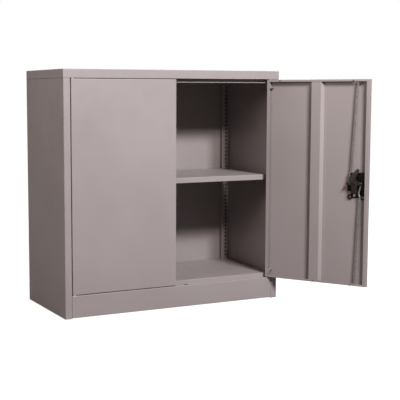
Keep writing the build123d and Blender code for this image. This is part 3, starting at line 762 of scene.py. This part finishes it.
@dataclass
class Door:
    """The fittings that both doors have, made on the closed right door, in millimetres."""

    side: Side
    inner_face: float = -399.0
    lip_face: float = -384.0
    bottom: float = 86.5
    top: float = 866.0
    stiffener_x: float = 215.25
    foot_spread: float = 32.5
    weld_radius: float = 2.2
    weld_lift: float = 1.0
    weld_count: int = 9
    weld_margin: float = 40.0
    buffer_edge: float = 4.0
    buffer_reach: float = 3.7
    buffer_from_hinge: float = 48.0
    buffer_free_x: float = 66.0
    pin_radius: float = 3.02
    clip_radius: float = 5.4
    clip_gauge: float = 0.9
    clip_round: tuple[float, float] = (0.25, 0.2)
    ear_distance: float = 33.0

    @property
    def body(self) -> str:
        """The body that this door's fittings ride on."""
        return f"{self.side.value}_door"

    def welds(self) -> Workpiece:
        """Builds the welds along the stiffener's feet."""
        piece = Workpiece(f"{self.body}_stiffener_welds", self.body, Slot.PAINT)
        length = self.top - self.bottom - 2 * self.weld_margin
        step = length / (self.weld_count - 1)
        for foot in (-1, 1):
            start = (self.stiffener_x + foot * self.foot_spread, self.inner_face + self.weld_lift,
                     self.bottom + self.weld_margin)
            SpotWeld(self.weld_radius).row(piece, start, (0.0, 0.0, step), self.weld_count,
                                           Hinge().place(self.side), Facing.INTO_CABINET)
        return piece

    def buffers(self) -> Workpiece:
        """Builds the stepped rubber buffers that meet the stop."""
        upper = self.top - self.buffer_edge
        lower = self.bottom + self.buffer_edge
        places = {
            "upper_hinge_side_buffer": (Hinge().x - self.buffer_from_hinge, upper),
            "upper_free_side_buffer": (self.buffer_free_x, upper),
            "lower_middle_buffer": (self.stiffener_x, lower),
            "lower_free_side_buffer": (self.buffer_free_x, lower),
        }
        piece = Workpiece(f"{self.body}_buffers", self.body, Slot.RUBBER,
                          [f"{self.side.value}_{name}" for name in places])
        reach = self.buffer_reach
        outline = [(0.0, 0.0), (2.5, 0.0), (2.5, 0.7), (2.25, 1.0), (1.7, 1.15), (1.7, 0.72 * reach),
                   (1.45, 0.9 * reach), (0.8, reach), (0.0, reach)]
        door = Hinge().place(self.side)
        for x, z in places.values():
            piece.lathe(outline, door @ Facing.INTO_CABINET.at(x, self.lip_face, z), steps=20)
        return piece

    def pin_clips(self) -> Workpiece:
        """Builds the spring clips that keep the pivot pins in their ears."""
        piece = Workpiece(f"{self.body}_pin_clips", self.body, Slot.ZINC)
        hinge = Hinge()
        bore, rim, gauge = self.pin_radius, self.clip_radius, self.clip_gauge
        inward, up = self.clip_round
        outline = [(bore, 0.0), (rim - inward, 0.0), (rim, up), (rim, gauge - up),
                   (rim - inward, gauge), (bore, gauge), (bore, 0.0)]
        upper = self.top - self.ear_distance
        lower = self.bottom + self.ear_distance
        for z, facing in ((upper, Facing.DOWN), (lower, Facing.UP)):
            piece.lathe(outline, hinge.place(self.side) @ facing.at(hinge.x, hinge.y, z))
        return piece

    def build(self, materials: dict[Slot, bpy.types.Material]) -> None:
        """Builds and hands over each piece."""
        self.welds().finish(materials)
        self.buffers().finish(materials)
        self.pin_clips().finish(materials)


@dataclass
class LockSet:
    """The lock case, cam, rods' ends and turning handle of the right door, in millimetres."""

    x: float = 54.5
    z: float = 476.25
    plate_face: float = -397.0
    case_face: float = -392.0
    cam_face: float = -380.5
    grip_face: float = -423.6
    arm: float = 24.0
    ear_spread: float = 25.5
    ear_middle: float = -2.5
    ear_drop: float = 52.5
    rivets: Spots = ((-29.0, 35.0), (-29.0, -22.0), (15.0, 35.0), (25.0, -22.0))
    cam_rivets: Spots = ((6.0, -0.7), (2.3, 8.2), (-3.8, -0.7), (19.0, -0.7))
    washer_gauge: float = 1.0
    rib_heights: tuple[float, ...] = (16.0, 19.5, 23.0)
    rib_across: float = 6.4
    rib_half: tuple[float, float] = (0.35, 0.6)
    rib_depth: tuple[float, float] = (2.5, 15.0)
    plate_screws: Point = (25.0, -402.4, 45.0)
    door: Matrix = field(default_factory=lambda: Hinge().place(Side.RIGHT))

    def inside(self, across: float, up: float, face: float) -> Matrix:
        """Places a fitting on the inside of the open door.

        Args:
            across: the distance from the handle's axis towards the hinge.
            up: the height above the axis.
            face: the plane that it sits on in the closed door.

        Returns:
            The move to there.
        """
        return self.door @ Facing.INTO_CABINET.at(self.x + across, face, self.z + up)

    def case(self) -> Workpiece:
        """Builds the lock case with rolled rims on its ears, and its rivets."""
        piece = Workpiece("lock_case_moulding", "right_door", Slot.BLACK, ("lock_case",))
        piece.copy_of("lock_case", edge=0.35)
        rim = [(5.7, 0.0), (5.7, 0.5), (6.1, 0.85), (8.3, 0.85), (8.9, 0.5), (9.2, 0.0), (5.7, 0.0)]
        for side in (-1, 1):
            across = self.ear_middle + side * self.ear_spread
            piece.lathe(rim, self.inside(across, -self.ear_drop, self.plate_face), steps=28)
        rivet = [(0.0, 1.1), (1.2, 1.05), (2.2, 0.75), (2.8, 0.25), (2.9, 0.0), (0.0, 0.0)]
        for across, up in self.rivets:
            piece.lathe(rivet, self.inside(across, up, self.case_face), steps=20)
        return piece

    def cam(self) -> Workpiece:
        """Builds the cam with its broken edges."""
        piece = Workpiece("lock_cam_plate", "handle", Slot.DARK_STEEL, ("lock_cam",))
        piece.copy_of("lock_cam", edge=0.3)
        return piece

    def cam_marks(self) -> Workpiece:
        """Builds the small dark rivets on the cam."""
        piece = Workpiece("lock_cam_rivets", "handle", Slot.BLACK)
        head = [(0.0, 0.5), (1.2, 0.45), (1.9, 0.2), (2.1, 0.0), (0.0, 0.0)]
        for across, up in self.cam_rivets:
            piece.lathe(head, self.inside(across, up, self.cam_face), steps=16)
        return piece

    def cam_screw(self) -> Workpiece:
        """Builds the washer and screw that hold the cam on the spindle."""
        piece = Workpiece("cam_screw_head", "handle", Slot.DARK_STEEL, ("cam_screw",))
        top = self.washer_gauge
        washer = [(0.0, 0.0), (5.8, 0.0), (6.0, 0.2), (6.0, 0.8), (5.8, top), (0.0, top)]
        piece.lathe(washer, self.inside(0.0, 0.0, self.cam_face), steps=28)
        screw = CrossScrew(radius=4.2, height=1.9, cross=2.2, depth=1.0)
        screw.add_to(piece, self.inside(0.0, 0.0, self.cam_face + top))
        return piece

    def rod_cap(self, rod: str, across: float) -> Workpiece:
        """Builds the push-on cap that keeps a rod's bent end in the cam.

        Args:
            rod: the rod's body.
            across: the eye's distance from the axis towards the hinge.

        Returns:
            The cap.
        """
        piece = Workpiece(f"{rod}_cap", rod, Slot.DARK_STEEL)
        outline = [(0.0, 0.0), (5.4, 0.0), (5.6, 0.3), (5.0, 0.8),
                   (3.7, 1.2), (3.5, 2.2), (2.6, 2.75), (0.0, 2.9)]
        piece.lathe(outline, self.inside(across, 0.0, self.cam_face), steps=20)
        return piece

    def handle(self) -> Workpiece:
        """Builds the turning handle with its rounded edges and grip ribs."""
        piece = Workpiece("wing_handle_grip", "handle", Slot.BLACK, ("wing_handle",))
        piece.copy_of("wing_handle", edge=0.5)
        (across, up), (near, far) = self.rib_half, self.rib_depth
        for side in (-1, 1):
            for height in self.rib_heights:
                for end in (-1, 1):
                    x, z = self.x + side * self.rib_across, self.z + end * height
                    low = (x - across, self.grip_face + near, z - up)
                    high = (x + across, self.grip_face + far, z + up)
                    piece.block(low, high, self.door)
        return piece

    def plate(self) -> Workpiece:
        """Builds the plate under the handle."""
        piece = Workpiece("handle_plate_moulding", "right_door", Slot.BLACK, ("handle_plate",))
        piece.copy_of("handle_plate", edge=0.3)
        screw = CrossScrew(radius=2.6, height=0.9, cross=1.4, depth=0.6)
        across, face, up = self.plate_screws
        for side in (-1, 1):
            for end in (-1, 1):
                spot = Facing.OUT_OF_CABINET.at(self.x + side * across, face, self.z + end * up)
                screw.add_to(piece, self.door @ spot)
        return piece

    def key(self) -> tuple[Workpiece, Workpiece]:
        """Builds the lock cylinder with its bezel, and the plug with the key slot."""
        cylinder = Workpiece("key_cylinder_face", "handle", Slot.CHROME, ("key_cylinder",))
        cylinder.copy_of("key_cylinder", edge=0.25)
        bezel = [(6.9, 0.0), (6.9, 0.35), (7.3, 0.6), (8.7, 0.6), (9.3, 0.3), (9.4, 0.0), (6.9, 0.0)]
        cylinder.lathe(bezel, self.door @ Facing.OUT_OF_CABINET.at(self.x, self.grip_face, self.z), steps=36)
        plug = Workpiece("key_plug_face", "key_plug", Slot.CHROME, ("key_plug",))
        plug.copy_of("key_plug", edge=0.15)
        return cylinder, plug

    def build(self, materials: dict[Slot, bpy.types.Material]) -> None:
        """Builds and hands over each piece."""
        made = [self.case(), self.cam(), self.cam_marks(), self.cam_screw(), self.handle(),
                self.plate(), *self.key(), self.rod_cap("upper_rod", self.arm),
                self.rod_cap("lower_rod", -self.arm)]
        for piece in made:
            piece.finish(materials)


@dataclass(frozen=True)
class Lamp:
    """One square soft box of the studio."""

    name: str
    at: Point
    aim: Point
    power: float
    size: float
    tint: Colour = (1.0, 1.0, 1.0)

    def build(self) -> None:
        """Hangs the lamp."""
        data = bpy.data.lights.new(self.name, "AREA")
        data.energy = self.power
        data.size = self.size
        data.color = self.tint
        lamp = bpy.data.objects.new(self.name, data)
        lamp.location = self.at
        way = Vector(self.aim) - Vector(self.at)
        lamp.rotation_euler = way.to_track_quat("-Z", "Y").to_euler()
        bpy.context.scene.collection.objects.link(lamp)


@dataclass
class Studio:
    """The floor, lamps, backdrop and camera."""

    eye: Point = (-1.68222, -3.65309, 0.81141)
    yaw: float = 0.460119
    pitch: float = 0.108135
    sensor: float = 36.0
    lens: float = 87.9536
    shift: float = 0.10
    farthest: float = 60.0
    lamps: tuple[Lamp, ...] = (
        Lamp("key_right", at=(0.60, -2.90, 2.40), aim=(0.20, -0.30, 0.50), power=80.0, size=0.3,
             tint=(0.96, 1.0, 1.07)),
        Lamp("key_left", at=(0.20, -3.10, 2.38), aim=(0.20, -0.30, 0.50), power=80.0, size=0.35,
             tint=(1.03, 0.98, 0.95)),
        Lamp("left_fill", at=(-1.90, -1.20, 1.60), aim=(-0.45, -0.20, 0.60), power=15.0, size=0.8,
             tint=(1.0, 0.90, 0.83)),
        Lamp("left_back_fill", at=(-2.60, 0.35, 1.30), aim=(-0.45, -0.20, 0.50), power=19.0, size=0.8,
             tint=(1.0, 0.98, 0.97)),
        Lamp("back_fill", at=(2.40, 1.90, 1.90), aim=(0.20, -0.10, 0.45), power=60.0, size=1.0),
    )
    sky: Colour = (0.004, 0.004, 0.004)
    floor_reach: float = 14.0

    def camera(self) -> None:
        """Sets up the camera."""
        data = bpy.data.cameras.new("camera")
        data.sensor_width = self.sensor
        data.lens = self.lens
        data.shift_x = self.shift
        data.clip_end = self.farthest
        camera = bpy.data.objects.new("camera", data)
        camera.location = self.eye
        camera.rotation_euler = (math.pi / 2 - self.pitch, 0.0, -self.yaw)
        bpy.context.scene.collection.objects.link(camera)
        bpy.context.scene.camera = camera

    def backdrop(self) -> None:
        """Lights the world evenly and shows it white behind the cabinet."""
        world = bpy.data.worlds.new("backdrop")
        bpy.context.scene.world = world
        world.use_nodes = True
        nodes, links = world.node_tree.nodes, world.node_tree.links
        glow = nodes["Background"]
        glow.inputs["Color"].default_value = (*self.sky, 1.0)
        white = nodes.new("ShaderNodeBackground")
        white.inputs["Color"].default_value = (1.0, 1.0, 1.0, 1.0)
        mix = nodes.new("ShaderNodeMixShader")
        path = nodes.new("ShaderNodeLightPath")
        links.new(path.outputs["Is Camera Ray"], mix.inputs["Fac"])
        links.new(glow.outputs["Background"], mix.inputs[1])
        links.new(white.outputs["Background"], mix.inputs[2])
        links.new(mix.outputs["Shader"], nodes["World Output"].inputs["Surface"])

    def floor(self) -> None:
        """Lays the floor."""
        shape = bmesh.new()
        bmesh.ops.create_grid(shape, x_segments=1, y_segments=1, size=self.floor_reach)
        mesh = bpy.data.meshes.new("floor")
        shape.to_mesh(mesh)
        shape.free()
        mesh.materials.append(StudioFloor().material())
        floor = bpy.data.objects.new("floor", mesh)
        bpy.context.scene.collection.objects.link(floor)

    def build(self) -> None:
        """Builds the studio."""
        self.camera()
        for lamp in self.lamps:
            lamp.build()
        self.backdrop()
        self.floor()
        bpy.context.scene.view_settings.view_transform = "Standard"


@dataclass
class Dresser:
    """Gives every carried-over solid its finish."""

    materials: dict[Slot, bpy.types.Material] = field(default_factory=dict)

    def prepare(self) -> None:
        """Builds each finish once."""
        self.materials = {slot: finish.material() for slot, finish in FINISHES.items()}

    def dress(self) -> None:
        """Puts the finish of its slot in the record on every node of the frame."""
        slots = {row["node"]: Slot(row["material_slot"]) for row in frame["record"]["subparts"]}
        for name, node in frame["nodes"].items():
            node.data.materials.clear()
            node.data.materials.append(self.materials[slots[name]])
            LOG.info("%s: %s", name, slots[name].value)


def main() -> None:
    """Builds the cabinet's looks in order."""
    logging.basicConfig(level=logging.INFO, format="%(message)s")
    dresser = Dresser()
    dresser.prepare()
    dresser.dress()
    Carcass().build(dresser.materials)
    for side in Side:
        Door(side).build(dresser.materials)
    LockSet().build(dresser.materials)
    Studio().build()


if __name__ == "__main__":
    main()
